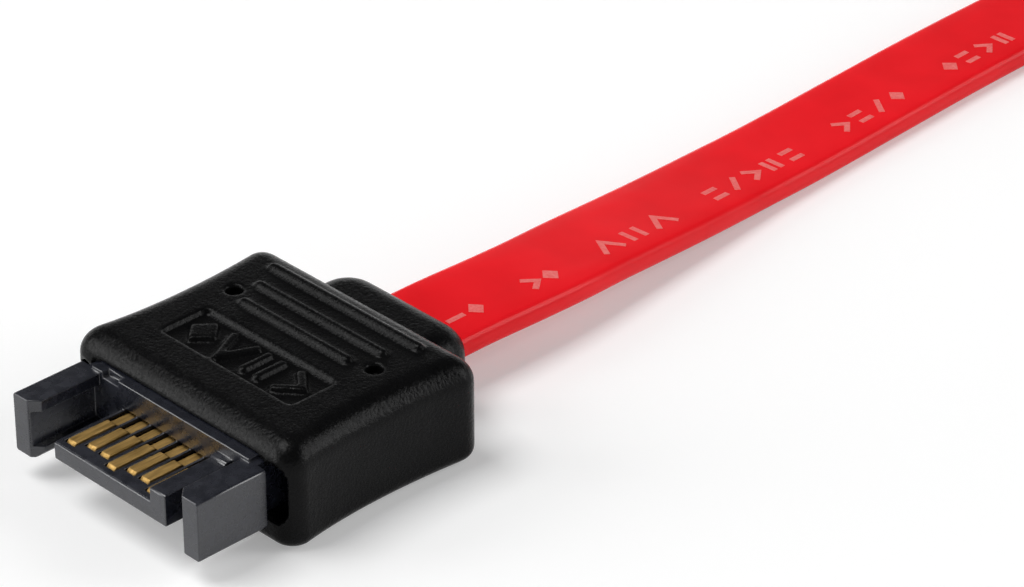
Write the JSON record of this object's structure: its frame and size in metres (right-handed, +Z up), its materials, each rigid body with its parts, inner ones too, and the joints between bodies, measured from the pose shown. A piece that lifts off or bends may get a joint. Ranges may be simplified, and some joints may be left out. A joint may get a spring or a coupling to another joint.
{
  "type": "sata extension cable",
  "caption": "Flat red data extension cable with a moulded plug that has an L-key tongue and guide arms, and a moulded receptacle on its folded far end.",
  "frame": {"origin": "on the ground under the middle of the plug, tongue tip to strain relief", "axes": "+Y from the plug's tongue towards the cable, so the plug mates along -Y; +X across the contacts towards the key leg; +Z up out of the cover's label side"},
  "size_m": [0.0243, 0.2213, 0.0247],
  "materials": {
    "cover": "satin black moulded PVC",
    "insulator": "glossy dark blue-grey moulded plastic",
    "contact_gold": "gold plated, polished",
    "cable_jacket": "satin red extruded PVC",
    "inner_mould": "natural moulded polyethylene",
    "core_insulation": "foil-grey core insulation",
    "drain_wire": "tinned copper",
    "tie": "black plastic-coated wire tie"
  },
  "bodies": {
    "root": {"plug_insulator": "insulator", "plug_cover": "cover", "plug_inner_mould": "inner_mould", "plug_contact_1": "contact_gold", "plug_wire_1": "drain_wire", "plug_contact_2": "contact_gold", "plug_wire_2": "core_insulation", "plug_contact_3": "contact_gold", "plug_wire_3": "core_insulation", "plug_contact_4": "contact_gold", "plug_wire_4": "drain_wire", "plug_contact_5": "contact_gold", "plug_wire_5": "core_insulation", "plug_contact_6": "contact_gold", "plug_wire_6": "core_insulation", "plug_contact_7": "contact_gold", "plug_wire_7": "drain_wire", "receptacle_insulator": "insulator", "receptacle_cover": "cover", "receptacle_inner_mould": "inner_mould", "receptacle_contact_1": "contact_gold", "receptacle_wire_1": "drain_wire", "receptacle_contact_2": "contact_gold", "receptacle_wire_2": "core_insulation", "receptacle_contact_3": "contact_gold", "receptacle_wire_3": "core_insulation", "receptacle_contact_4": "contact_gold", "receptacle_wire_4": "drain_wire", "receptacle_contact_5": "contact_gold", "receptacle_wire_5": "core_insulation", "receptacle_contact_6": "contact_gold", "receptacle_wire_6": "core_insulation", "receptacle_contact_7": "contact_gold", "receptacle_wire_7": "drain_wire", "cable_lead": "cable_jacket", "cable_hank": "cable_jacket", "cable_tail": "cable_jacket", "hank_tie": "tie"}
  },
  "joints": []
}
